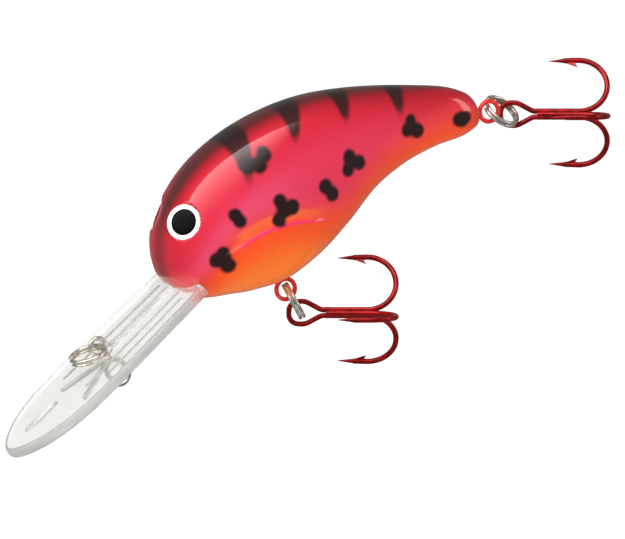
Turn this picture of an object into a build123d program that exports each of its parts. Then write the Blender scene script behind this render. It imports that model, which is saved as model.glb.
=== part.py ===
from build123d import *
import os
from math import cos, pi, radians, sin, sqrt

# A deep diving crankbait, about 53 mm in the body, in its running attitude: nose down, head
# towards -X, tail towards +X, left side towards -Y.  Millimetres, +Z up.
# The origin is the centre of the line tie's upper eye, where the line is fastened.

os.makedirs("parts", exist_ok=True)

# ---------------------------------------------------------------- driving dimensions

NOSE_DOWN = 17.5            # slope of the body's own axis below level, degrees
NOSE_REF = (7.8, 0, 12.89)  # where the body's axis starts, beside the nose
WALL = 1.3                  # thickness of the moulded body shells
SIDE_FULLNESS = 2.3         # superellipse exponent of the body's cross-sections

LIP_SLOPE = 39.7            # slope of the diving lip below level, degrees
EYE_ABOVE_LIP = 2.2         # from the middle of the lip's thickness up to the line tie's eye
LIP_THICKNESS = 1.6
LIP_ROUNDING = 0.6          # of the lip's rim
LIP_TIP = 19.2              # from the line tie forward to the lip's tip
LIP_ROOT = 15.1             # from the line tie back to where the lip enters the body
LIP_HALF_WIDTH = 7.9
TANG_HALF_WIDTH = 5.0       # part of the lip that is buried in the body
TANG_LENGTH = 5.6

WIRE = 0.64                 # diameter of the hanger and line tie wire
LOOP_RADIUS = 1.42          # of each wire eye, to the middle of the wire

RING_RADIUS = 2.5           # split rings, to the middle of the wire
RING_WIRE = 0.56
COIL_PITCH = 0.54           # distance between the two coils of a split ring

HOOK_WIRE = 0.77
HOOK_EYE_WIRE = 0.73
HOOK_REACH = 8.35           # from a treble's shank out to a point's wire
HOOK_BEND = 8.95            # from the treble's eye to the start of the bends
POINT_SETBACK = 4.84        # where the points end, measured from the treble's eye
SWING_OUT = 27              # how far the trebles trail out towards the left side, degrees
LEAN = 9                    # how far the trebles' facing side looks upwards, degrees

EYE_DIAMETER = 4.95
PUPIL_DIAMETER = 3.55
RATTLE_DIAMETER = 3.2
RATTLE_TRAVEL = 3.2         # each way, across the body

SHELL_GAP = 0.02            # moulding clearance round an insert
REACH = 30                  # longer than anything it has to cut through

# The body in its own frame: x back from the nose, z up.  Each row is a cross-section:
# x, top, bottom, half width, height of the widest point.
BODY_SECTIONS = [
    (1.3, -0.9, -5.3, 3.1, -3.3),
    (2.2, 1.5, -6.9, 5.2, -3.0),
    (3.6, 3.8, -8.3, 6.6, -2.6),
    (5.7, 6.0, -9.2, 7.5, -2.2),
    (8.6, 8.25, -9.9, 8.1, -1.8),
    (12.5, 10.15, -10.75, 8.5, -1.5),
    (17.5, 11.5, -11.1, 8.5, -1.2),
    (23.0, 12.05, -9.7, 8.0, -0.6),
    (28.5, 11.8, -7.2, 7.1, 0.3),
    (34.0, 10.65, -4.25, 5.8, 1.8),
    (39.5, 8.95, -2.7, 4.6, 2.2),
    (45.0, 6.85, -2.25, 3.5, 1.8),
    (49.4, 4.9, -2.5, 2.8, 1.0),
    (51.8, 3.2, -2.1, 2.1, 0.4),
    (52.6, 2.1, -1.5, 1.5, 0.2),
    (52.9, 1.1, -0.7, 0.8, 0.2),
]
NOSE_TIP = (0.95, 0, -3.3)

# ---------------------------------------------------------------- frames

body_frame = Location(NOSE_REF, (0, -NOSE_DOWN, 0))

lip_along = Vector(-cos(radians(LIP_SLOPE)), 0, -sin(radians(LIP_SLOPE)))
lip_up = Vector(-sin(radians(LIP_SLOPE)), 0, cos(radians(LIP_SLOPE)))
lip_plane = Plane(origin=lip_up * -EYE_ABOVE_LIP, x_dir=lip_along, z_dir=lip_up)

trail = Vector(cos(radians(SWING_OUT)), -sin(radians(SWING_OUT)), 0)
facing = Vector(
    -sin(radians(SWING_OUT)) * cos(radians(LEAN)),
    -cos(radians(SWING_OUT)) * cos(radians(LEAN)),
    sin(radians(LEAN)),
)

# ---------------------------------------------------------------- body


def half_section(x, top, bottom, half_width, waist):
    """The left half of one cross-section, closed along the middle plane."""
    points = []
    steps = 10
    for step in range(steps + 1):
        angle = pi / 2 - pi * step / steps
        power = 2 / SIDE_FULLNESS
        height = top - waist if angle > 0 else waist - bottom
        side = half_width * abs(cos(angle)) ** power if abs(angle) < pi / 2 else 0
        rise = height * abs(sin(angle)) ** power * (1 if angle > 0 else -1)
        points.append(Vector(x, -side, waist + rise))
    outline = Spline(*points, tangents=[(0, -1, 0), (0, 1, 0)])
    return make_face(outline + Line(points[-1], points[0]))


def left_half(inset=0.0):
    """The left half of the body, solid; inset moves its surface inwards."""
    faces = []
    for x, top, bottom, half_width, waist in BODY_SECTIONS:
        if inset and (half_width < inset + 1.2 or x < 3):
            continue
        faces.append(half_section(x, top - inset, bottom + inset, half_width - inset, waist))
    if inset:
        return loft(faces)
    return loft([Vertex(*NOSE_TIP)] + faces)


def across(x, z, radius, y_from, y_to):
    """A cylinder that lies across the body, in the body's frame."""
    middle = (y_from + y_to) / 2
    return Pos(x, middle, z) * Rot(90, 0, 0) * Cylinder(radius, abs(y_to - y_from))


def in_slot(x_from, z_from, x_to, z_to, half_depth):
    """A straight slot in the middle plane, as wide as the two wires that lie in it."""
    start, end = Vector(x_from, 0, z_from), Vector(x_to, 0, z_to)
    run = end - start
    width = 2 * WIRE
    slot = Box(run.length, width, 2 * half_depth)
    return Plane(origin=(start + end) / 2, x_dir=run, z_dir=(0, 1, 0)).location * slot


BELLY_EYE, BELLY_PEG = (18.0, -12.94), (18.0, -6.4)
TAIL_EYE, TAIL_PEG = (54.8, -0.9), (48.4, 0.9)
PEG_RADIUS = LOOP_RADIUS - WIRE / 2 - 0.05
BALLAST = (12.2, -6.9)
BALLAST_RADIUS, BALLAST_HALF_LENGTH = 2.6, 4.6
RATTLES = [(25.5, 3.2), (33.0, 4.6)]
LOCATING_PINS = [(9.6, 4.4), (19.0, 7.6), (40.5, 4.4)]
PIN_RADIUS = 0.8
OVER_SEAM = 1.0             # how far cutters and bosses run past the seam before it is cut


def bosses():
    """Everything that stands inside a half shell: pockets, posts and guides, in the body's frame."""
    yield across(*BALLAST, BALLAST_RADIUS + 0.9, OVER_SEAM, -REACH)
    for place in RATTLES:
        yield across(*place, RATTLE_DIAMETER / 2 + 1.1, OVER_SEAM, -REACH)
    for place in LOCATING_PINS:
        yield across(*place, PIN_RADIUS + 0.8, OVER_SEAM, -REACH)
    for place in (BELLY_PEG, TAIL_PEG):
        yield across(*place, LOOP_RADIUS + WIRE / 2 + 0.8, OVER_SEAM, -REACH)
    yield Pos(BELLY_PEG[0], -0.6, -9.5) * Box(3.4, 2 * (OVER_SEAM + 0.6), 8)
    yield Pos(50.5, -0.6, 0.4) * Box(6, 2 * (OVER_SEAM + 0.6), 3.4)


def lip_block():
    """Solid stock round the lip's tang, in the world's frame."""
    depth = 9.0
    block = Box(depth, 2 * (TANG_HALF_WIDTH + 1.2), LIP_THICKNESS + 2.4)
    return lip_plane.location * Pos(-LIP_ROOT - depth / 2 + 2.6, 0, 0) * block


def shell_stock():
    """The left half shell with its bosses, before anything is cut for the inserts."""
    cavity = left_half(WALL)
    for boss in bosses():
        cavity -= boss
    cavity -= body_frame.inverse() * lip_block()
    return left_half() - cavity


def insert_cutters():
    """What both halves are cut for, in the body's frame."""
    wire_depth = WIRE / 2 + SHELL_GAP
    loop_clearance = LOOP_RADIUS + WIRE / 2 + 2 * SHELL_GAP
    for eye, peg in ((BELLY_EYE, BELLY_PEG), (TAIL_EYE, TAIL_PEG)):
        yield in_slot(*eye, *peg, wire_depth)
        for centre in (eye, peg):
            yield across(*centre, loop_clearance, -wire_depth, wire_depth)
    half = BALLAST_HALF_LENGTH + SHELL_GAP
    yield across(*BALLAST, BALLAST_RADIUS + SHELL_GAP, -half, half)
    for place in RATTLES:
        half = RATTLE_DIAMETER / 2 + RATTLE_TRAVEL + 0.1
        yield across(*place, RATTLE_DIAMETER / 2 + 0.1, -half, half)
    yield body_frame.inverse() * lip_blank(SHELL_GAP)
    yield body_frame.inverse() * rib_channel()


# ---------------------------------------------------------------- diving lip


def lip_blank(grow=0.0):
    """The lip's plate and its tang, with no details; grow adds a clearance all round."""
    near = Vector(-LIP_ROOT - grow, LIP_HALF_WIDTH - 0.8 + grow)
    side = Spline(
        near,
        Vector(-7, LIP_HALF_WIDTH - 0.4 + grow),
        Vector(3, LIP_HALF_WIDTH + grow),
        Vector(9.5, LIP_HALF_WIDTH - 0.35 + grow),
        Vector(14.6, LIP_HALF_WIDTH - 2.1 + grow),
        Vector(18.0, LIP_HALF_WIDTH - 5.0 + grow),
        Vector(LIP_TIP + grow, 0),
        tangents=[(1, 0.06), (0, -1)],
    )
    tang_edge = TANG_HALF_WIDTH + grow
    tang_end = -LIP_ROOT - TANG_LENGTH - grow
    back = Polyline(near, (near.X, tang_edge), (tang_end, tang_edge), (tang_end, 0))
    half = side + back
    outline = half + mirror(half, about=Plane.XZ)
    plate = extrude(make_face(outline), LIP_THICKNESS / 2 + grow, both=True)
    return lip_plane.location * plate


def on_lip(x, y, height):
    """A point in the lip's own frame: forward from the line tie, to the left, above the middle."""
    return lip_plane.origin + lip_along * x + lip_plane.y_dir * y + lip_up * height


def bead(start, end, radius, proud):
    """A round-ended ridge or groove along the lip's upper face, centred `proud` above it."""
    run = Vector(*end) - Vector(*start)
    middle = (Vector(*start) + Vector(*end)) / 2
    height = LIP_THICKNESS / 2 + proud
    spine = Plane(origin=(middle.X, middle.Y, height), z_dir=(run.X, run.Y, 0))
    bar = spine.location * Cylinder(radius, run.length)
    for point in (start, end):
        bar += Pos(point[0], point[1], height) * Sphere(radius)
    return bar


RIB_RADIUS, RIB_SUNK = 1.15, 0.45
TIE_BOSS_RADIUS, TIE_BOSS_HEIGHT = 1.5, 0.25
RIB_START, RIB_END = -16.0, -2.2


def lip_rib():
    """The stiffening rib between the body and the line tie, in the lip's frame."""
    return bead((RIB_START, 0), (RIB_END, 0), RIB_RADIUS, -RIB_SUNK)


def rib_channel():
    """Room in the shells for the rib's buried end."""
    height = LIP_THICKNESS / 2 - RIB_SUNK
    length = RIB_END - RIB_START + 2.5
    bar = Rot(0, 90, 0) * Cylinder(RIB_RADIUS + SHELL_GAP, length)
    return lip_plane.location * Pos(RIB_START - 1.2 + length / 2, 0, height) * bar


def diving_lip():
    lip = lip_plane.location.inverse() * lip_blank()
    curves = [edge for edge in lip.edges() if edge.geom_type == GeomType.BSPLINE]
    lip = fillet([edge for edge in curves if abs(edge.center().Z) > 0.1], LIP_ROUNDING)
    boss = Pos(0, 0, LIP_THICKNESS / 2) * Cylinder(TIE_BOSS_RADIUS, 2 * TIE_BOSS_HEIGHT)
    lip = lip + lip_rib() + boss
    for side in (-1, 1):
        lip += bead((-12.9, side * 3.0), (5.5, side * 3.4), 0.32, -0.1)
        lip += bead((-12.1, side * 5.0), (2.5, side * 5.6), 0.26, -0.08)
    lip -= bead((10.1, 0), (14.7, 0), 0.95, 0.5)
    lip = lip_plane.location * lip
    return lip - line_tie_wire(SHELL_GAP)


# ---------------------------------------------------------------- wire parts


def wire_eye(centre, radius=LOOP_RADIUS, thickness=WIRE):
    """A closed eye in the middle plane."""
    return Location(centre, (90, 0, 0)) * Torus(radius, thickness / 2)


def wire_run(start, end, thickness=WIRE):
    start, end = Vector(*start), Vector(*end)
    run = end - start
    return Plane(origin=(start + end) / 2, z_dir=run).location * Cylinder(thickness / 2, run.length)


def hanger(eye, peg):
    """One wire bent to a figure of eight: an outer eye for the split ring, an inner one on a peg."""
    outer, inner = Vector(eye[0], 0, eye[1]), Vector(peg[0], 0, peg[1])
    along = (inner - outer).normalized()
    aside = along.cross(Vector(0, 1, 0)) * (WIRE / 2 - 0.05)
    figure = wire_eye(outer) + wire_eye(inner)
    for side in (-1, 1):
        start = outer + along * (LOOP_RADIUS - 0.1) + aside * side
        end = inner - along * (LOOP_RADIUS - 0.1) + aside * side
        figure += wire_run(start, end)
    return body_frame * figure


TIE_LOOP_RADIUS = 1.2       # the upper eye, to the middle of the wire
LOWER_EYE = 3.05            # from the middle of the lip's thickness down to the lower eye
LEG_HEIGHT = -(LIP_THICKNESS / 2 + WIRE / 2 + 0.02)


def line_tie_wire(grow=0.0):
    """The wire through the lip: an eye on each face and two legs splayed along the underside."""
    thickness = WIRE + 2 * grow
    upper = Vector(0, 0, 0)
    lower = on_lip(0, 0, -LOWER_EYE)
    tie = wire_eye(upper, TIE_LOOP_RADIUS, thickness) + wire_eye(lower, thickness=thickness)
    neck_top = on_lip(0, 0, EYE_ABOVE_LIP - TIE_LOOP_RADIUS)
    neck_bottom = on_lip(0, 0, LOOP_RADIUS - LOWER_EYE)
    tie += wire_run(neck_bottom, neck_top, 2 * WIRE + 2 * grow)
    for side in (-1, 1):
        knee = on_lip(0.3, side * 0.35, LEG_HEIGHT)
        toe = on_lip(6.8, side * 3.4, LEG_HEIGHT)
        tie += wire_run(knee, toe, thickness)
        tie += Pos(*toe) * Sphere(thickness / 2)
    return tie


def split_ring(centre, axis):
    """Two flat coils side by side."""
    ring = Pos(0, 0, COIL_PITCH / 2) * Torus(RING_RADIUS, RING_WIRE / 2)
    ring += Pos(0, 0, -COIL_PITCH / 2) * Torus(RING_RADIUS, RING_WIRE / 2)
    return Plane(origin=centre, z_dir=axis).location * ring


# ---------------------------------------------------------------- treble hooks

SHANK_SPREAD = HOOK_WIRE / sqrt(3) + 0.02   # from the bundle's axis to each wire's middle
POINT_LENGTH = 2.2
CONE_OVERLAP = 0.3


def bend_radius():
    return (HOOK_REACH - SHANK_SPREAD) / 2


def one_hook(turn):
    """One wire: shank, round bend, tapered point and barb, turned about the shank's axis."""
    radius = bend_radius()
    shank_start = (3.2, SHANK_SPREAD)
    bend_start = (HOOK_BEND, SHANK_SPREAD)
    bend = CenterArc((HOOK_BEND, SHANK_SPREAD + radius), radius, -90, 180)
    tip = Vector(POINT_SETBACK, HOOK_REACH - 0.15)
    spear_start = Vector(HOOK_BEND, HOOK_REACH)
    spear = tip - spear_start
    cone_start = tip - spear.normalized() * POINT_LENGTH
    path = Line(shank_start, bend_start) + bend + Line(spear_start, cone_start)
    start = Plane(origin=(*shank_start, 0), z_dir=(1, 0, 0))
    wire = sweep(start * Circle(HOOK_WIRE / 2), path=path)
    cone_base = cone_start - spear.normalized() * CONE_OVERLAP
    cone = Cone(HOOK_WIRE / 2 - 0.01, 0.04, POINT_LENGTH + CONE_OVERLAP)
    wire += Plane(origin=(cone_base + tip) / 2, z_dir=spear).location * cone
    barb = Polyline((6.7, HOOK_REACH - 0.2), (8.75, HOOK_REACH - 0.98), (8.3, HOOK_REACH - 0.2), close=True)
    wire += extrude(make_face(barb), 0.13, both=True)
    return Rot(turn, 0, 0) * wire


def treble_eye():
    """The closed eye that both shanks of the double hook run out of."""
    half_gap = SHANK_SPREAD * sin(radians(120))
    upper = [(3.6, half_gap), (2.6, half_gap), (0.35, 1.62), (-1.85, 1.45)]
    lower = [(x, -y) for x, y in reversed(upper)]
    path = FilletPolyline(*upper, *lower, radius=[1.5, 2.0, 1.3, 1.3, 2.0, 1.5])
    start = Plane(origin=(*upper[0], 0), z_dir=(-1, 0, 0))
    loop = sweep(start * Circle(HOOK_EYE_WIRE / 2), path=path)
    return Pos(0, 0, SHANK_SPREAD * cos(radians(120))) * loop


def treble_double():
    return treble_eye() + one_hook(90 - 120) + one_hook(90 + 120)


def treble_single():
    return one_hook(90)


def treble_braze():
    """The solder that fills the middle and the grooves of the three shanks."""
    start, end = 3.4, HOOK_BEND - 0.2
    corner = SHANK_SPREAD + 0.12
    triangle = RegularPolygon(corner, 3)
    core = Plane(origin=(start, 0, 0), x_dir=(0, 0, 1), z_dir=(1, 0, 0)) * triangle
    fill = extrude(core, end - start)
    for turn in (0, 120, 240):
        wire = Rot(turn, 0, 0) * Pos((start + end) / 2, 0, SHANK_SPREAD) * Rot(0, 90, 0)
        fill -= wire * Cylinder(HOOK_WIRE / 2 + 0.005, REACH)
    return fill


# ---------------------------------------------------------------- shells


def left_shell():
    shell = shell_stock()
    for cutter in insert_cutters():
        shell -= cutter
    for place in LOCATING_PINS:
        shell -= across(*place, PIN_RADIUS + 0.03, OVER_SEAM, -2.1)
    for place in (BELLY_PEG, TAIL_PEG):
        shell -= across(*place, PEG_RADIUS + 0.03, OVER_SEAM, -1.6)
    shell -= eye_bore(-1)
    return body_frame * shell


def right_shell():
    shell = mirror(shell_stock(), about=Plane.XZ)
    for cutter in insert_cutters():
        shell -= cutter
    for place in LOCATING_PINS:
        shell += across(*place, PIN_RADIUS, 0.5, -2.0)
    for place in (BELLY_PEG, TAIL_PEG):
        shell += across(*place, PEG_RADIUS, 0.9, -1.5)
    shell -= eye_bore(1)
    return body_frame * shell


# ---------------------------------------------------------------- eyes

EYE_PLACE = (4.05, 4.5, 3.35)  # the right eye's middle on the head's surface, in the body's frame
EYE_FACING = (-0.68, 0.52, 0.52)  # square to the surface there
EYE_SEAT = 0.85             # depth of the white's seat in the shell


def eye_frame(side):
    """Origin on the head's surface at the eye's middle, z outwards; side is -1 for the left."""
    origin = Vector(EYE_PLACE[0], side * EYE_PLACE[1], EYE_PLACE[2])
    outwards = Vector(EYE_FACING[0], side * EYE_FACING[1], EYE_FACING[2])
    return Plane(origin=origin, z_dir=outwards)


def eye_bore(side):
    radius = EYE_DIAMETER / 2 + SHELL_GAP
    return eye_frame(side).location * Pos(0, 0, 2.5 - EYE_SEAT) * Cylinder(radius, 5)


def eye_white(side):
    """A plug whose outer face carries on the head's own surface."""
    plug = Pos(0, 0, 2.5 - EYE_SEAT + SHELL_GAP) * Cylinder(EYE_DIAMETER / 2, 5)
    plug = eye_frame(side).location * plug
    head = left_half() if side < 0 else mirror(left_half(), about=Plane.XZ)
    white = plug & head
    return body_frame * (white - pupil_blank(side, SHELL_GAP))


def pupil_blank(side, grow=0.0):
    """A domed button on a short plug."""
    radius = PUPIL_DIAMETER / 2 + grow
    dome_height = 0.62
    dome_radius = (radius ** 2 + dome_height ** 2) / (2 * dome_height)
    seat = 0.35
    plug = Pos(0, 0, 1 - seat - grow) * Cylinder(radius, 2)
    ball = Pos(0, 0, dome_height - dome_radius + 0.1) * Sphere(dome_radius)
    return eye_frame(side).location * (plug & ball)


# ---------------------------------------------------------------- placed parts


def main():
    belly_ring_centre = Vector(29.67, -0.85, 4.39)
    belly_ring_axis = Vector(0.818, -0.333, 0.47)
    tail_ring_centre = Vector(62.67, 0.88, 28.24)
    tail_ring_axis = Vector(-0.32, 0.57, -0.757)
    tie_ring_centre = Vector(-2.02, -1.18, -0.86)
    tie_ring_axis = Vector(-0.358, -0.067, 0.931)
    treble_places = {
        "belly": (Vector(30.61, -1.62, 2.74), 6.7),
        "tail": (Vector(64.73, 0.93, 27.68), 3.5),
    }

    parts = {
        "body_shell_left": left_shell(),
        "body_shell_right": right_shell(),
        "diving_lip": diving_lip(),
        "line_tie_wire": line_tie_wire(),
        "belly_hanger": hanger(BELLY_EYE, BELLY_PEG),
        "tail_hanger": hanger(TAIL_EYE, TAIL_PEG),
        "belly_ballast": body_frame
        * across(*BALLAST, BALLAST_RADIUS, -BALLAST_HALF_LENGTH, BALLAST_HALF_LENGTH),
        "line_tie_split_ring": split_ring(tie_ring_centre, tie_ring_axis),
        "belly_split_ring": split_ring(belly_ring_centre, belly_ring_axis),
        "tail_split_ring": split_ring(tail_ring_centre, tail_ring_axis),
    }
    for side, name in ((-1, "left"), (1, "right")):
        parts["eye_white_" + name] = eye_white(side)
        parts["eye_pupil_" + name] = body_frame * pupil_blank(side)
    for place, name in zip(RATTLES, ("front", "rear")):
        ball = Pos(place[0], 0, place[1]) * Sphere(RATTLE_DIAMETER / 2)
        parts["rattle_ball_" + name] = body_frame * ball
    for name, (origin, roll) in treble_places.items():
        frame = Plane(origin=origin, x_dir=trail, z_dir=facing).location * Rot(roll, 0, 0)
        parts[name + "_treble_double_hook"] = frame * treble_double()
        parts[name + "_treble_single_hook"] = frame * treble_single()
        parts[name + "_treble_braze"] = frame * treble_braze()

    for name, shape in parts.items():
        export_step(shape, "parts/" + name + ".step")


main()
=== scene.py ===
import bmesh
import bpy
from math import cos, pi, radians, sin, sqrt
from mathutils import Matrix, Vector


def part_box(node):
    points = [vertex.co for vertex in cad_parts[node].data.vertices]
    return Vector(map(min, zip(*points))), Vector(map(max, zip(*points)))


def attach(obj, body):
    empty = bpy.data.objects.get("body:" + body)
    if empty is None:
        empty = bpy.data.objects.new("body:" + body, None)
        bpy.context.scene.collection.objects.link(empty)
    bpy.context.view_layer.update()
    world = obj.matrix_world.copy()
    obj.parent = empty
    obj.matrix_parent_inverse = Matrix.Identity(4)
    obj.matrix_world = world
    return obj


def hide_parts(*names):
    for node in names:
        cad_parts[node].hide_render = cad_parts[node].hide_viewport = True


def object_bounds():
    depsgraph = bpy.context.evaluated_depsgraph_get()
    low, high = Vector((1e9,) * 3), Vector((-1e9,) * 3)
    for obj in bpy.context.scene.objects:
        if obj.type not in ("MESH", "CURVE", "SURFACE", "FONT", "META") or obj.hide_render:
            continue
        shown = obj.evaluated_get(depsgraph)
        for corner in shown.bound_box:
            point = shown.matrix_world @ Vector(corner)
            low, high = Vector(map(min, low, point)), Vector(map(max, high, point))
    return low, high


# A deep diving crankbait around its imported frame: +X towards the tail, -Y its left side, +Z up.
# The scene is in metres.  Named sizes are in millimetres and go through MM, unless they say m.

MM = 0.001
SIDES = (("left", -1), ("right", 1))

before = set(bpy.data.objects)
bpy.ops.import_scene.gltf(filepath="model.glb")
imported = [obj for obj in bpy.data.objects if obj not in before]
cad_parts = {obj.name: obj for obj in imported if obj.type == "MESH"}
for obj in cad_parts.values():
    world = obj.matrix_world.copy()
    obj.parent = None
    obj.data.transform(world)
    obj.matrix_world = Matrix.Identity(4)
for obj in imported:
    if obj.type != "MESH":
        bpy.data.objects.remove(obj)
cad_low, cad_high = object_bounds()

# ---------------------------------------------------------------- the body's own frame

NOSE_DOWN = radians(17.5)
NOSE_REF = Vector((7.8, 0, 12.89))          # where the body's frame starts, just before the nose
BODY_X = Vector((cos(NOSE_DOWN), 0, sin(NOSE_DOWN)))
BODY_Z = Vector((-sin(NOSE_DOWN), 0, cos(NOSE_DOWN)))

# Cross-sections from nose to tail: x, top, bottom, half width, height of the widest point
SECTIONS = [
    (0.95, -3.3, -3.3, 0.0, -3.3),
    (1.3, -0.9, -5.3, 3.1, -3.3),
    (2.2, 1.5, -6.9, 5.2, -3.0),
    (3.6, 3.8, -8.3, 6.6, -2.6),
    (5.7, 6.0, -9.2, 7.5, -2.2),
    (8.6, 8.25, -9.9, 8.1, -1.8),
    (12.5, 10.15, -10.75, 8.5, -1.5),
    (17.5, 11.5, -11.1, 8.5, -1.2),
    (23.0, 12.05, -9.7, 8.0, -0.6),
    (28.5, 11.8, -7.2, 7.1, 0.3),
    (34.0, 10.65, -4.25, 5.8, 1.8),
    (39.5, 8.95, -2.7, 4.6, 2.2),
    (45.0, 6.85, -2.25, 3.5, 1.8),
    (49.4, 4.9, -2.5, 2.8, 1.0),
    (51.8, 3.2, -2.1, 2.1, 0.4),
    (52.6, 2.1, -1.5, 1.5, 0.2),
    (52.9, 1.1, -0.7, 0.8, 0.2),
    (53.0, 0.2, 0.2, 0.0, 0.2),
]
SIDE_FULLNESS = 2.3         # superellipse exponent of a cross-section
STATIONS_PER_SECTION = 16
ROUND_STEPS = 128           # points from the back to the belly on one side

# The moulded crease along the cheek, with the belly panel swelling out below it
CREASE = [
    (5.0, -4.2), (7.65, -2.4), (11.4, -1.45), (15.1, -1.1), (18.8, -1.55), (22.5, -2.95), (27.0, -5.3),
]
PANEL_SWELL = 0.42          # how far the panel stands out
PANEL_FRONT = (5.5, 9.0)    # x over which it rises behind the head
PANEL_REAR = (17.5, 27.0)   # x over which it fades out towards the tail
PANEL_EDGE = (0.0, 0.55)    # distances below the crease over which it rises
PANEL_FADE = (2.8, 6.8)     # and over which it fades into the belly
GROOVE_SHARE = 0.35         # depth of the groove above the crease, as a share of the swell
GROOVE_EDGE = (0.0, 0.12)   # distances above the crease over which the groove falls
GROOVE_FADE = (0.12, 1.1)   # and over which it rises back to the side
NARROWEST_RELIEF = 2        # no relief where the body is less than this from the seam


def smooth(value, low, high):
    """A soft step from 0 at low to 1 at high."""
    t = min(max((value - low) / (high - low), 0), 1)
    return t * t * (3 - 2 * t)


def between(rows, x):
    """Straight interpolation in a list of (x, value)."""
    if x <= rows[0][0]:
        return rows[0][1]
    for (x0, v0), (x1, v1) in zip(rows, rows[1:]):
        if x <= x1:
            return v0 + (v1 - v0) * (x - x0) / (x1 - x0)
    return rows[-1][1]


def through(rows, steps):
    """A smooth curve through rows of numbers, spaced by how far they are apart."""
    knots = [0.0]
    for a, b in zip(rows, rows[1:]):
        knots.append(knots[-1] + sqrt(sqrt(sum((p - q) ** 2 for p, q in zip(a, b)))))
    slopes = []
    for i in range(len(rows)):
        low, high = max(i - 1, 0), min(i + 1, len(rows) - 1)
        span = knots[high] - knots[low]
        slopes.append([(p - q) / span for p, q in zip(rows[high], rows[low])])
    result = []
    for i in range(len(rows) - 1):
        span = knots[i + 1] - knots[i]
        for step in range(steps):
            t = step / steps
            h00, h10 = 2 * t**3 - 3 * t**2 + 1, t**3 - 2 * t**2 + t
            h01, h11 = 3 * t**2 - 2 * t**3, t**3 - t**2
            values = zip(rows[i], slopes[i], rows[i + 1], slopes[i + 1])
            result.append([h00 * p + h10 * m * span + h01 * q + h11 * n * span for p, m, q, n in values])
    result.append(list(rows[-1]))
    return result


def to_world(x, y, z):
    """A place in the body's frame, in the lure's frame and in metres."""
    return (NOSE_REF + BODY_X * x + Vector((0, y, 0)) + BODY_Z * z) * MM


def panel_relief(x, z):
    """How far the moulded cheek panel stands out at a place on the side."""
    swell = PANEL_SWELL * smooth(x, *PANEL_FRONT) * (1 - smooth(x, *PANEL_REAR))
    below = between(CREASE, x) - z
    if below > 0:
        return swell * smooth(below, *PANEL_EDGE) * (1 - smooth(below, *PANEL_FADE))
    return -GROOVE_SHARE * swell * smooth(-below, *GROOVE_EDGE) * (1 - smooth(-below, *GROOVE_FADE))


def surface_ring(section):
    """Points from the back to the belly on the left side, in the body's frame."""
    x, top, bottom, half_width, waist = section
    power = 2 / SIDE_FULLNESS
    points = []
    for step in range(ROUND_STEPS + 1):
        angle = pi / 2 - pi * step / ROUND_STEPS
        height = top - waist if angle > 0 else waist - bottom
        side = max(half_width, 0) * max(cos(angle), 0) ** power
        rise = height * abs(sin(angle)) ** power * (1 if angle > 0 else -1)
        z = waist + rise
        swell = panel_relief(x, z) if side > NARROWEST_RELIEF else 0
        points.append((x, -(side + swell), z))
    return points


def fit_box(points, low, high):
    """Moves points so that together they fill the box exactly."""
    old_low = [min(p[i] for p in points) for i in range(3)]
    old_high = [max(p[i] for p in points) for i in range(3)]
    scale = [(high[i] - low[i]) / (old_high[i] - old_low[i]) for i in range(3)]
    return [Vector([low[i] + (p[i] - old_low[i]) * scale[i] for i in range(3)]) for p in points]


# ---------------------------------------------------------------- meshes

WELD_REACH = 0.002          # points closer than this become one
SLIVER = 0.0005             # edges shorter than this go


def make_object(name, points, faces, material, flat=0):
    """A new mesh object; its last faces, as many as flat says, aren't smooth."""
    mesh = bpy.data.meshes.new(name)
    mesh.from_pydata([tuple(p) for p in points], [], faces)
    mesh.validate()
    mesh.update()
    for polygon in mesh.polygons:
        polygon.use_smooth = polygon.index < len(mesh.polygons) - flat
    piece = bpy.data.objects.new(name, mesh)
    bpy.context.scene.collection.objects.link(piece)
    mesh.materials.append(material)
    return piece


def weld(piece):
    """Merges points that lie on each other, drops faces that have no area and marks the edges
    between smooth and flat faces sharp."""
    mesh = bmesh.new()
    mesh.from_mesh(piece.data)
    bmesh.ops.remove_doubles(mesh, verts=mesh.verts, dist=WELD_REACH * MM)
    bmesh.ops.dissolve_degenerate(mesh, edges=mesh.edges, dist=SLIVER * MM)
    bmesh.ops.recalc_face_normals(mesh, faces=mesh.faces)
    for edge in mesh.edges:
        edge.smooth = len({face.smooth for face in edge.link_faces}) == 1
    mesh.to_mesh(piece.data)
    mesh.free()


def ring_faces(rings, count, closed):
    """Quads between neighbouring rings of points."""
    faces = []
    last = count if closed else count - 1
    for ring in range(rings - 1):
        for i in range(last):
            j = (i + 1) % count
            a, b = ring * count, (ring + 1) * count
            faces.append((a + i, a + j, b + j, b + i))
    return faces


# ---------------------------------------------------------------- node networks


def colour(red, green, blue):
    """A colour given as seen on a screen, 0 to 255, as linear light."""
    shares = [value / 255 for value in (red, green, blue)]
    linear = [((c + 0.055) / 1.055) ** 2.4 if c > 0.04 else c / 12.92 for c in shares]
    return (*linear, 1)


class Nodes:
    """A node tree built up in small steps."""

    def __init__(self, tree):
        self.tree = tree

    def add(self, kind, inputs=(), **settings):
        node = self.tree.nodes.new(kind)
        for key, value in settings.items():
            setattr(node, key, value)
        for index, value in enumerate(inputs):
            self.feed(node.inputs[index], value)
        return node

    def feed(self, socket, value):
        if isinstance(value, bpy.types.NodeSocket):
            self.tree.links.new(value, socket)
        elif value is not None:
            socket.default_value = value

    def math(self, operation, *values):
        return self.add("ShaderNodeMath", values, operation=operation).outputs[0]

    def step(self, value, low, high):
        """A soft step from 0 at low to 1 at high."""
        node = self.add("ShaderNodeMapRange", (value, low, high), interpolation_type="SMOOTHSTEP")
        return node.outputs[0]

    def fall(self, value, low, high):
        """A soft step from 1 at low to 0 at high."""
        return self.math("SUBTRACT", 1.0, self.step(value, low, high))


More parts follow.
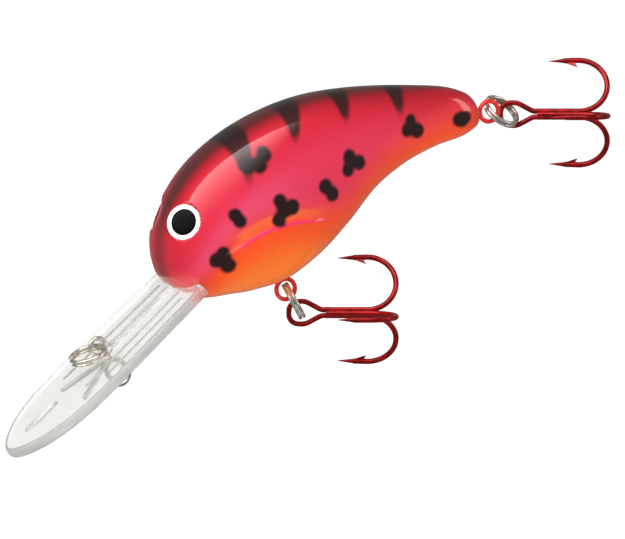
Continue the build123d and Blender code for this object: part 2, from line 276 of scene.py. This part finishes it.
class Net(Nodes):
    """A material around one Principled shader, whose fixed values are given by name."""

    def __init__(self, name, **fixed):
        self.material = bpy.data.materials.new(name)
        self.material.use_nodes = True
        super().__init__(self.material.node_tree)
        self.shader = self.tree.nodes["Principled BSDF"]
        for key, value in fixed.items():
            self.shader.inputs[key.replace("_", " ")].default_value = value

    def mix(self, factor, first, second, blend="MIX"):
        node = self.add("ShaderNodeMix", data_type="RGBA", blend_type=blend)
        self.feed(node.inputs[0], factor)
        self.feed(node.inputs[6], first)
        self.feed(node.inputs[7], second)
        return node.outputs[2]

    def place(self):
        return self.add("ShaderNodeTexCoord").outputs["Object"]

    def noise(self, scale, detail=3.0, place=None):
        node = self.add("ShaderNodeTexNoise")
        self.feed(node.inputs["Vector"], place or self.place())
        self.feed(node.inputs["Scale"], scale)
        self.feed(node.inputs["Detail"], detail)
        return node.outputs["Fac"]

    def cells(self, scale):
        node = self.add("ShaderNodeTexVoronoi")
        self.feed(node.inputs["Vector"], self.place())
        self.feed(node.inputs["Scale"], scale)
        return node

    def bump(self, height, strength, distance):
        node = self.add("ShaderNodeBump")
        self.feed(node.inputs["Height"], height)
        node.inputs["Strength"].default_value = strength
        node.inputs["Distance"].default_value = distance
        self.tree.links.new(node.outputs[0], self.shader.inputs["Normal"])

    def profile(self, x, rows, low, high):
        """A curve that gives a value in low..high for a distance along the body."""
        length = rows[-1][0]
        node = self.add("ShaderNodeFloatCurve")
        curve = node.mapping.curves[0]
        places = [(row_x / length, (value - low) / (high - low)) for row_x, value in rows]
        curve.points[0].location = places[0]
        curve.points[1].location = places[-1]
        for place in places[1:-1]:
            curve.points.new(*place)
        node.mapping.update()
        self.feed(node.inputs["Value"], self.math("DIVIDE", x, length))
        return self.math("MULTIPLY_ADD", node.outputs[0], high - low, low)

    def set(self, socket, value):
        self.feed(self.shader.inputs[socket], value)


# ---------------------------------------------------------------- body paint

# Dark marks, each a cluster of round lobes: x, z in the body's frame and radius
SPOTS = [
    (6.25, -2.85, 0.85), (7.35, -2.3, 0.8), (7.55, -4.2, 0.85), (7.1, -3.3, 0.75),
    (10.55, 2.15, 0.75), (10.95, 1.1, 0.75),
    (17.4, 1.6, 0.8), (18.95, 0.1, 0.9), (16.5, -0.75, 0.85), (17.6, 0.2, 0.9),
    (14.9, 7.6, 0.85), (17.9, 8.1, 0.85), (16.5, 7.05, 0.9),
    (24.85, 0.75, 0.85), (25.55, -0.7, 0.85),
    (29.9, 3.0, 0.85), (31.2, 1.65, 0.85), (29.1, 1.45, 0.8), (30.0, 2.1, 0.6),
    (41.35, 3.6, 0.7), (40.35, 2.6, 0.8), (41.95, 1.85, 0.85), (41.2, 2.5, 0.7),
    (48.75, 0.65, 0.75), (50.1, 0.4, 0.7), (49.45, 0.2, 0.75), (49.4, 0.75, 0.6),
]
SPOT_SPREAD = 1.3           # how much larger the paint spreads than the lobes
SPOT_MERGE = 0.9            # how softly neighbouring lobes run together
SPOT_EDGE = (-0.34, 0.28)   # distances from a spot's outline over which it fades
# Airbrushed stripes down from the back: x on the back, x at the tip, half width, depth
STRIPES = [
    (15.9, 14.3, 2.0, 5.6), (25.0, 22.9, 1.75, 4.4), (32.9, 31.4, 1.5, 4.0), (41.2, 40.0, 1.4, 4.2),
]
STRIPE_TAPER = 0.8          # share of its width that a stripe loses down to its tip
STRIPE_FADE = (0.65, 1.12)  # shares of its depth over which it fades out

# Heights along the body of the back's crest and of the line where the belly colour begins,
# and the half width of the dark band along the back
BACK_LINE = [
    (0, -3), (2.2, 1.5), (5.7, 6.0), (12.5, 10.15), (23, 12.05), (34, 10.65), (45, 6.85), (51.8, 3.2),
    (60, 0),
]
BACK_BAND = [
    (0, 0.2), (3, 0.7), (6, 1.4), (14, 2.3), (20, 2.7), (32, 2.6), (40, 2.1), (47, 1.2), (51, 0.5),
    (60, 0.3),
]
BELLY_LINE = [
    (0, -6.6), (4, -5.8), (7.6, -2.9), (11.4, -1.55), (15.1, -1.2), (18.8, -1.7), (22.5, -2.9),
    (27, -3.6), (31, -2.1), (35, -0.6), (40, 0.5), (46, 0.6), (52, 0.0), (60, -0.2),
]
# How soft the belly colour's edge is along the body
BELLY_SOFTNESS = [(0, 1.6), (8, 0.9), (14, 0.35), (20, 0.4), (27, 1.6), (60, 1.4)]


def skin_colours(net, x, above, depth, wobble):
    """The pink side over the orange belly; above is the height over the line between them."""
    side = net.mix(net.step(depth, 1.5, 8.0), colour(182, 22, 42), colour(200, 44, 72))
    cheek = net.math("MULTIPLY", net.step(depth, 5.0, 9.0), net.fall(x, 12.0, 26.0))
    side = net.mix(net.math("MULTIPLY", cheek, 0.8), side, colour(202, 68, 104))
    side = net.mix(net.step(above, 0.2, 4.0), colour(212, 56, 56), side)
    below = net.math("MULTIPLY", above, -1.0)
    belly = net.mix(net.step(below, 0.5, 7.0), colour(224, 68, 18), colour(236, 112, 16))
    softness = net.profile(x, BELLY_SOFTNESS, 0, 3)
    edge = net.math("DIVIDE", net.math("ADD", above, net.math("MULTIPLY", wobble, 0.2)), softness)
    return net.mix(net.step(edge, -1.0, 1.0), belly, side)


def crease_colours(net, paint, x, above):
    """A hot pink line in the cheek's crease, with an orange rim above it."""
    in_cheek = net.math("MULTIPLY", net.step(x, 8.5, 11.0), net.fall(x, 19.0, 26.0))
    from_line = net.math("ABSOLUTE", net.math("ADD", above, 0.45))
    line = net.math("MULTIPLY", net.fall(from_line, 0.05, 0.42), in_cheek)
    paint = net.mix(line, paint, colour(214, 44, 84))
    from_rim = net.math("ABSOLUTE", net.math("SUBTRACT", above, 0.75))
    rim = net.math("MULTIPLY", net.fall(from_rim, 0.25, 0.95), in_cheek)
    return net.mix(net.math("MULTIPLY", rim, 0.8), paint, colour(228, 100, 46))


def back_colours(net, paint, x, y, depth):
    """Deep red that shades into a brown grey band along the back."""
    upper = net.fall(depth, 3.5, 7.0)
    outside = net.math("SUBTRACT", y, net.profile(x, BACK_BAND, 0, 4))
    red = net.math("MULTIPLY", net.fall(outside, 0.0, 2.4), upper)
    paint = net.mix(net.math("MULTIPLY", red, 0.75), paint, colour(120, 10, 18))
    dark = net.math("MULTIPLY", net.fall(outside, -1.0, 0.9), upper)
    dark = net.math("MULTIPLY", dark, net.step(x, 0.8, 4.0))
    return net.mix(net.math("MULTIPLY", dark, 0.8), paint, colour(46, 24, 22))


def stripe_marks(net, x, depth, wobble):
    """1 inside the airbrushed stripes and 0 outside, with soft edges."""
    stripes = None
    for back_x, tip_x, half_width, length in STRIPES:
        share = net.math("DIVIDE", depth, length)
        centre = net.math("MULTIPLY_ADD", share, tip_x - back_x, back_x)
        width = net.math("MULTIPLY_ADD", share, -STRIPE_TAPER * half_width, half_width)
        off = net.math("SUBTRACT", net.math("ABSOLUTE", net.math("SUBTRACT", x, centre)), width)
        off = net.math("MULTIPLY_ADD", wobble, 0.3, off)
        mark = net.math("MULTIPLY", net.fall(off, -0.45, 0.45), net.fall(share, *STRIPE_FADE))
        stripes = mark if stripes is None else net.math("MAXIMUM", stripes, mark)
    return stripes


def spot_marks(net, x, z, wobble):
    """1 inside the spots and 0 outside, with soft edges."""
    nearest = None
    for spot_x, spot_z, radius in SPOTS:
        across = net.math("SUBTRACT", x, spot_x)
        up = net.math("SUBTRACT", z, spot_z)
        square = net.math("ADD", net.math("MULTIPLY", across, across), net.math("MULTIPLY", up, up))
        gap = net.math("SUBTRACT", net.math("SQRT", square), radius * SPOT_SPREAD)
        nearest = gap if nearest is None else net.math("SMOOTH_MIN", nearest, gap, SPOT_MERGE)
    nearest = net.math("MULTIPLY_ADD", wobble, 0.28, nearest)
    return net.fall(nearest, *SPOT_EDGE)


def body_paint():
    """The whole paint scheme under its clear coat, the same on both halves."""
    net = Net(
        "body_paint", Roughness=0.38, Specular_IOR_Level=0.12, Coat_Weight=1.0, Coat_Roughness=0.02,
    )
    place = net.place()
    wobble = net.math("SUBTRACT", net.noise(900, 2.0), 0.5)

    def along(direction, origin):
        node = net.add("ShaderNodeVectorMath", (place, direction / MM), operation="DOT_PRODUCT")
        return net.math("SUBTRACT", node.outputs["Value"], origin)

    x = along(BODY_X, NOSE_REF.dot(BODY_X))
    z = along(BODY_Z, NOSE_REF.dot(BODY_Z))
    y = net.math("ABSOLUTE", along(Vector((0, 1, 0)), 0.0))
    depth = net.math("SUBTRACT", net.profile(x, BACK_LINE, -4, 14), z)
    above = net.math("SUBTRACT", z, net.profile(x, BELLY_LINE, -12, 2))

    paint = skin_colours(net, x, above, depth, wobble)
    paint = crease_colours(net, paint, x, above)
    paint = back_colours(net, paint, x, y, depth)
    stripes = stripe_marks(net, x, depth, wobble)
    paint = net.mix(net.math("MULTIPLY", stripes, 0.93), paint, colour(20, 12, 10))
    spots = spot_marks(net, x, z, wobble)
    paint = net.mix(net.math("MULTIPLY", spots, 0.985), paint, colour(10, 6, 5))

    # pearl flakes in the paint, almost none of them in the spots
    flakes = net.cells(5200)
    sparkle = net.step(flakes.outputs["Color"], 0.72, 1.0)
    pearl = net.math("MULTIPLY", sparkle, net.math("MULTIPLY_ADD", spots, -0.03, 0.03))
    paint = net.mix(pearl, paint, colour(255, 170, 170), "ADD")
    net.set("Base Color", paint)
    net.set("Metallic", net.math("MULTIPLY_ADD", sparkle, 0.3, 0.1))
    net.bump(net.noise(420, 3.0), 0.04, 0.1 * MM)
    return net.material


# ---------------------------------------------------------------- other materials

LIP_SLOPE = radians(39.7)   # of the lip below the level
FLOW_ALONG, FLOW_ACROSS = 25, 420   # how fine the plastic's flow lines are along and across the lip


def clear_plastic():
    """Clear moulded plastic with faint flow lines along the lip."""
    net = Net("clear_plastic", Transmission_Weight=0.84, IOR=1.34, Specular_IOR_Level=0.6)
    streaks = net.add("ShaderNodeMapping", (net.place(),))
    streaks.inputs["Rotation"].default_value = (0, LIP_SLOPE, 0)
    streaks.inputs["Scale"].default_value = (FLOW_ALONG, FLOW_ACROSS, FLOW_ACROSS)
    flow = net.noise(1.0, 2.0, streaks.outputs[0])
    net.set("Base Color", net.mix(flow, colour(226, 227, 223), colour(243, 244, 241)))
    net.set("Roughness", net.math("MULTIPLY_ADD", flow, 0.12, 0.1))
    net.bump(flow, 0.06, 0.2 * MM)
    return net.material


def plated_steel(name, light, dark, roughness):
    """Bright plating that is dulled in patches."""
    net = Net(name, Metallic=0.92)
    worn = net.noise(1500, 4.0)
    net.set("Base Color", net.mix(net.step(worn, 0.3, 0.7), dark, light))
    net.set("Roughness", net.math("MULTIPLY_ADD", worn, 0.15, roughness))
    net.bump(net.noise(4000, 2.0), 0.05, 0.05 * MM)
    return net.material


def red_finish():
    """Translucent red over the hooks' steel, thicker where it pooled."""
    net = Net("red_finish", Metallic=0.8, Coat_Weight=0.25, Coat_Roughness=0.1)
    pooled = net.noise(700, 4.0)
    shade = net.mix(net.step(pooled, 0.35, 0.65), colour(140, 8, 12), colour(190, 22, 24))
    fine = net.noise(5000, 2.0)
    net.set("Base Color", net.mix(net.math("MULTIPLY", fine, 0.3), shade, colour(90, 5, 10)))
    net.set("Roughness", net.math("MULTIPLY_ADD", fine, 0.2, 0.22))
    net.bump(fine, 0.06, 0.05 * MM)
    return net.material


def overpainted_wire():
    """Hanger wire that was sprayed with the body, worn back to bare metal in patches."""
    net = Net("overpainted_wire", Coat_Weight=0.6, Coat_Roughness=0.06)
    bare = net.step(net.noise(520, 2.0), 0.68, 0.72)
    tone = net.mix(net.noise(300, 2.0), colour(200, 22, 30), colour(214, 44, 34))
    net.set("Base Color", net.mix(bare, tone, colour(196, 190, 178)))
    net.set("Metallic", net.math("MULTIPLY_ADD", bare, 0.85, 0.15))
    net.set("Roughness", net.math("MULTIPLY_ADD", bare, -0.1, 0.32))
    return net.material


def eye_enamel():
    """White paint under clear coat."""
    net = Net("eye_enamel", Roughness=0.25, Coat_Weight=1.0, Coat_Roughness=0.03)
    net.set("Base Color", net.mix(net.noise(1200, 3.0), colour(236, 234, 230), colour(250, 250, 248)))
    net.bump(net.noise(2500, 2.0), 0.03, 0.05 * MM)
    return net.material


def pupil_gloss():
    """Glossy black of the domed pupils."""
    net = Net("pupil_gloss", Coat_Weight=0.05, Coat_Roughness=0.02, Specular_IOR_Level=0.04)
    tone = net.noise(1500, 3.0)
    net.set("Base Color", net.mix(tone, colour(3, 3, 4), colour(12, 12, 14)))
    net.set("Roughness", net.math("MULTIPLY_ADD", tone, 0.08, 0.05))
    return net.material


def cast_metal():
    """Dull grey of the cast ballast."""
    net = Net("cast_metal", Metallic=0.9)
    grain = net.noise(900, 5.0)
    net.set("Base Color", net.mix(grain, colour(70, 70, 74), colour(120, 120, 124)))
    net.set("Roughness", net.math("MULTIPLY_ADD", grain, 0.3, 0.35))
    net.bump(grain, 0.2, 0.1 * MM)
    return net.material


PAINT = body_paint()
CLEAR = clear_plastic()
NICKEL = plated_steel("nickel_plate", colour(250, 247, 236), colour(206, 200, 186), 0.14)
STAINLESS = plated_steel("stainless_wire", colour(236, 233, 226), colour(186, 182, 174), 0.16)
RED = red_finish()
WIRE_PAINT = overpainted_wire()
WHITE = eye_enamel()
BLACK = pupil_gloss()
CAST = cast_metal()


# ---------------------------------------------------------------- eye places

EYE_PLACE = (4.05, 4.5, 3.35)               # centre, as x, distance from the seam and z
EYE_FACING = Vector((-0.6, 0.61, 0.52)).normalized()
EYE_RADIUS = 4.95 / 2
PUPIL_RADIUS = 3.7 / 2
EYE_SINK = 0.68             # how deep the flat seat lies below the eye's own centre
SEAT_GAP = 0.04             # between the eye's disc and the skin around and under it
SEAT_REACH = 3              # how far out of the seat the skin is still pressed flat
DISC_RISE = 0.04            # of the white disc above the seat
PUPIL_BASE = 0.03           # height of the pupil's rim above the seat
PUPIL_RISE = 0.27           # of the pupil's dome above its rim
EYE_DEPTH = 0.3             # how far disc and pupil reach in below their rims
EYE_RINGS, EYE_AROUND = 28, 96


def eye_axes():
    """Middle and axes of the left eye in the lure's frame."""
    middle = to_world(EYE_PLACE[0], -EYE_PLACE[1], EYE_PLACE[2])
    facing = BODY_X * EYE_FACING.x + Vector((0, -EYE_FACING.y, 0)) + BODY_Z * EYE_FACING.z
    right = Vector((0, 0, 1)).cross(facing).normalized()
    return middle, facing, right, facing.cross(right)


# ---------------------------------------------------------------- body halves

SEAM_GAP = 0.001            # of each half from the middle plane


def press_seat(points):
    """Flattens the left side where the eye's disc sits."""
    middle, facing, _, _ = eye_axes()
    seat = -(EYE_SINK + SEAT_GAP) * MM
    pressed = []
    for point in points:
        off = point - middle
        height = off.dot(facing)
        away = (off - facing * height).length
        if away < (EYE_RADIUS + SEAT_GAP) * MM and seat < height < SEAT_REACH * MM:
            point = point - facing * (height - seat)
        pressed.append(point)
    return pressed


def body_halves():
    """Two closed halves that meet at the seam."""
    rings = [surface_ring(section) for section in through(SECTIONS, STATIONS_PER_SECTION)]
    count = ROUND_STEPS + 1
    left_low, left_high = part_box("body_shell_left")
    points = [to_world(*point) for ring in rings for point in ring]
    points = fit_box(points, left_low, Vector((left_high.x, -SEAM_GAP * MM, left_high.z)))
    skin = ring_faces(len(rings), count, False)
    points = press_seat(points)
    # the flat inner face along the seam, from each ring's back point to its belly point
    seam = []
    for ring in range(len(rings) - 1):
        a, b = ring * count, (ring + 1) * count
        seam.append((a, b, b + count - 1, a + count - 1))
    for name, side in SIDES:
        shape = [Vector((p.x, p.y * -side, p.z)) for p in points]
        piece = make_object("body_half_" + name, shape, skin + seam, PAINT, flat=len(seam))
        weld(piece)
        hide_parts("body_shell_" + name)
        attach(piece, "lure_body")


body_halves()

# ---------------------------------------------------------------- eyes


def disc_profile(share):
    """Flat, with a rounded rim."""
    return DISC_RISE * sqrt(max(1 - share**12, 0))


def dome_profile(share):
    """Domed all over."""
    return PUPIL_BASE + PUPIL_RISE * sqrt(max(1 - share**2.4, 0))


def button(name, side, radius, profile, material, node):
    """A round cap in the left or right eye's seat; profile gives its height above the seat for a
    share of its radius."""
    side_name, mirror = side
    middle, facing, right, up = eye_axes()
    points = []
    for ring in range(EYE_RINGS + 1):
        share = ring / EYE_RINGS
        for step in range(EYE_AROUND):
            angle = 2 * pi * step / EYE_AROUND
            place = middle + (right * cos(angle) + up * sin(angle)) * radius * share * MM
            points.append(place + facing * (profile(share) - EYE_SINK) * MM)
    points += [p - facing * EYE_DEPTH * MM for p in points[-EYE_AROUND:]]
    count = EYE_AROUND
    faces = ring_faces(EYE_RINGS + 2, count, True)
    faces.append(tuple(range(count * (EYE_RINGS + 1), count * (EYE_RINGS + 2))))
    shape = [Vector((p.x, p.y * -mirror, p.z)) for p in points]
    piece = make_object(name + "_" + side_name, shape, faces, material, flat=1)
    weld(piece)
    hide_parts(node + "_" + side_name)
    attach(piece, "lure_body")


for eye_side in SIDES:
    button("eye_disc", eye_side, EYE_RADIUS, disc_profile, WHITE, "eye_white")
    button("eye_dome", eye_side, PUPIL_RADIUS, dome_profile, BLACK, "eye_pupil")

# ---------------------------------------------------------------- split rings

RING_RADIUS = 2.5           # to the middle of the wire
RING_WIRE = 0.54            # its thickness
WIRE_FLATNESS = 0.92        # the wire is rolled a little flat where the coils lie on each other
COIL_PITCH = 0.54           # between the middles of the two coils
# For each ring its body, its axis and the angle where its wire starts
RINGS = {
    "line_tie_split_ring": ("line_tie_ring", Vector((-0.358, -0.067, 0.931)), 2.4),
    "belly_split_ring": ("belly_ring", Vector((0.818, -0.333, 0.47)), 0.6),
    "tail_split_ring": ("tail_ring", Vector((-0.32, 0.57, -0.757)), 1.5),
}
CROSSING = radians(38)      # stretch over which the wire steps to the second coil
RING_STEPS, WIRE_STEPS = 220, 16


def coil(name, body, axis, start):
    """One wire wound twice round, stepping over to the second coil in one short stretch."""
    low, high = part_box(name)
    centre = (low + high) / 2
    axis = axis.normalized()
    right = axis.orthogonal().normalized()
    up = axis.cross(right)
    total = 4 * pi - CROSSING
    points = []
    for step in range(RING_STEPS + 1):
        angle = total * step / RING_STEPS
        lift = COIL_PITCH * (smooth(angle, 2 * pi - CROSSING, 2 * pi) - 0.5)
        outwards = right * cos(angle + start) + up * sin(angle + start)
        middle = centre + (outwards * RING_RADIUS + axis * lift) * MM
        for turn in range(WIRE_STEPS):
            phi = 2 * pi * turn / WIRE_STEPS
            across = RING_WIRE / 2 * cos(phi)
            flat = WIRE_FLATNESS * RING_WIRE / 2 * sin(phi)
            points.append(middle + (outwards * across + axis * flat) * MM)
    faces = ring_faces(RING_STEPS + 1, WIRE_STEPS, True)
    faces.append(tuple(range(WIRE_STEPS)))
    faces.append(tuple(reversed(range(RING_STEPS * WIRE_STEPS, (RING_STEPS + 1) * WIRE_STEPS))))
    piece = make_object(name + "_coil", points, faces, NICKEL, flat=2)
    weld(piece)
    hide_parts(name)
    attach(piece, body)


for ring_name, (ring_body, ring_axis, ring_start) in RINGS.items():
    coil(ring_name, ring_body, ring_axis, ring_start)

# ---------------------------------------------------------------- carried-over CAD nodes

KEPT = {
    "diving_lip": CLEAR,
    "line_tie_wire": STAINLESS,
    "belly_hanger": WIRE_PAINT,
    "tail_hanger": WIRE_PAINT,
    "belly_ballast": CAST,
    "rattle_ball_front": STAINLESS,
    "rattle_ball_rear": STAINLESS,
}
for kept_name in ("belly", "tail"):
    for kept_part in ("double_hook", "single_hook", "braze"):
        KEPT[kept_name + "_treble_" + kept_part] = RED
for kept_name, kept_material in KEPT.items():
    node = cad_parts[kept_name]
    node.data.materials.clear()
    node.data.materials.append(kept_material)

# ---------------------------------------------------------------- stage, light and camera

CAMERA_AZIMUTH, CAMERA_ELEVATION = radians(-27), radians(9)
VIEW_WIDTH = 85.6           # width of the view at the lure
TARGET_RIGHT, TARGET_UP = 29.41, 10.62      # middle of the view, from the origin
CAMERA_DISTANCE = 3.0       # m
CAMERA_REACH = 20           # m, past the far edge of the floor
SENSOR_WIDTH = 36
view_right = Vector((cos(CAMERA_AZIMUTH), sin(CAMERA_AZIMUTH), 0))
view_back = Vector(
    (
        sin(CAMERA_AZIMUTH) * cos(CAMERA_ELEVATION),
        -cos(CAMERA_AZIMUTH) * cos(CAMERA_ELEVATION),
        sin(CAMERA_ELEVATION),
    )
)
view_up = view_back.cross(view_right)
target = (view_right * TARGET_RIGHT + view_up * TARGET_UP) * MM


def turned(right, up, back, place):
    """An object's transform from its own axes, looking along -back."""
    matrix = Matrix((right, up, back)).transposed().to_4x4()
    matrix.translation = place
    return matrix


camera_data = bpy.data.cameras.new("camera")
camera_data.sensor_width = SENSOR_WIDTH
camera_data.lens = SENSOR_WIDTH * CAMERA_DISTANCE / (VIEW_WIDTH * MM)
camera_data.clip_end = CAMERA_REACH
camera = bpy.data.objects.new("camera", camera_data)
camera.matrix_world = turned(view_right, view_up, view_back, target + view_back * CAMERA_DISTANCE)
bpy.context.scene.collection.objects.link(camera)
bpy.context.scene.camera = camera
bpy.context.scene.view_settings.view_transform = "Standard"


def view_vector(direction):
    """A unit direction given as right, up and back in the camera's axes."""
    return (view_right * direction[0] + view_up * direction[1] + view_back * direction[2]).normalized()


def softbox(name, direction, along, distance, width, height, power, seen_in_gloss=True):
    """A rectangular light that looks at the lure; along is the direction of its width, and its
    distance and sizes are in metres."""
    back = view_vector(direction)
    right = view_vector(along)
    right = (right - back * right.dot(back)).normalized()
    light = bpy.data.lights.new(name, "AREA")
    light.shape = "RECTANGLE"
    light.size, light.size_y = width, height
    light.energy = power
    lamp = bpy.data.objects.new(name, light)
    lamp.matrix_world = turned(right, back.cross(right), back, target + back * distance)
    lamp.visible_glossy = seen_in_gloss
    bpy.context.scene.collection.objects.link(lamp)
    return light


KEY_FADE = 1.7              # exponent of the key light's fade from top to bottom
KEY_END_FADE = 0.3          # share of its length over which each end fades
KEY_BOOST = 1.15            # makes up for what its ends lose


def graded(light):
    """Lets a softbox fade from its upper edge to its lower one, and towards both ends."""
    light.use_nodes = True
    nodes = Nodes(light.node_tree)
    place = nodes.add("ShaderNodeNewGeometry").outputs["Parametric"]
    axes = nodes.add("ShaderNodeSeparateXYZ", (place,))
    fade = nodes.math("POWER", axes.outputs["Y"], KEY_FADE)
    from_end = nodes.math("PINGPONG", axes.outputs["X"], 0.5)
    ends = nodes.math("MULTIPLY", nodes.step(from_end, 0.0, KEY_END_FADE), KEY_BOOST)
    nodes.feed(nodes.tree.nodes["Emission"].inputs["Strength"], nodes.math("MULTIPLY", fade, ends))


graded(softbox("key", (-0.36, 0.51, 0.78), (0.914, 0.386, 0.12), 0.5, 1.45, 0.64, 13.0))
softbox("overhead", (-0.2, 0.83, 0.5), (1, 0, 0), 0.5, 0.7, 0.24, 1.5, seen_in_gloss=False)
softbox("fill", (0.1, 0.2, 0.9), (1, 0, 0), 0.8, 0.5, 0.5, 2.7, seen_in_gloss=False)
softbox("rear_edge", (0.9, 0.3, 0.1), (0, 0, 1), 0.7, 0.12, 0.4, 0.5)

# Seen directly the room is as pale as the floor, but it lights the lure only weakly
ROOM_SEEN, ROOM_LIGHT = 1.0, 0.2
world = bpy.data.worlds.new("studio")
world.use_nodes = True
room = Nodes(world.node_tree)
backdrop = room.tree.nodes["Background"]
room.feed(backdrop.inputs["Color"], (1, 1, 1, 1))
is_seen = room.add("ShaderNodeLightPath").outputs["Is Camera Ray"]
brightness = room.math("MULTIPLY_ADD", is_seen, ROOM_SEEN - ROOM_LIGHT, ROOM_LIGHT)
room.feed(backdrop.inputs["Strength"], brightness)
bpy.context.scene.world = world

FLOOR_DROP = 60             # of the floor below the lure
FLOOR_REACH = 6             # m, half the floor's side
floor_height = cad_low.z - FLOOR_DROP * MM
floor_net = Net("pale_floor", Roughness=0.9, Emission_Color=(1, 1, 1, 1), Emission_Strength=0.85)
floor_tones = (0.46, 0.46, 0.46, 1), (0.48, 0.48, 0.48, 1)
floor_net.set("Base Color", floor_net.mix(floor_net.noise(3, 3.0), *floor_tones))
corners = [(-1, -1), (1, -1), (1, 1), (-1, 1)]
floor_points = [(x * FLOOR_REACH, y * FLOOR_REACH, floor_height) for x, y in corners]
floor = make_object("floor", floor_points, [(0, 1, 2, 3)], floor_net.material, flat=1)
floor.visible_glossy = False
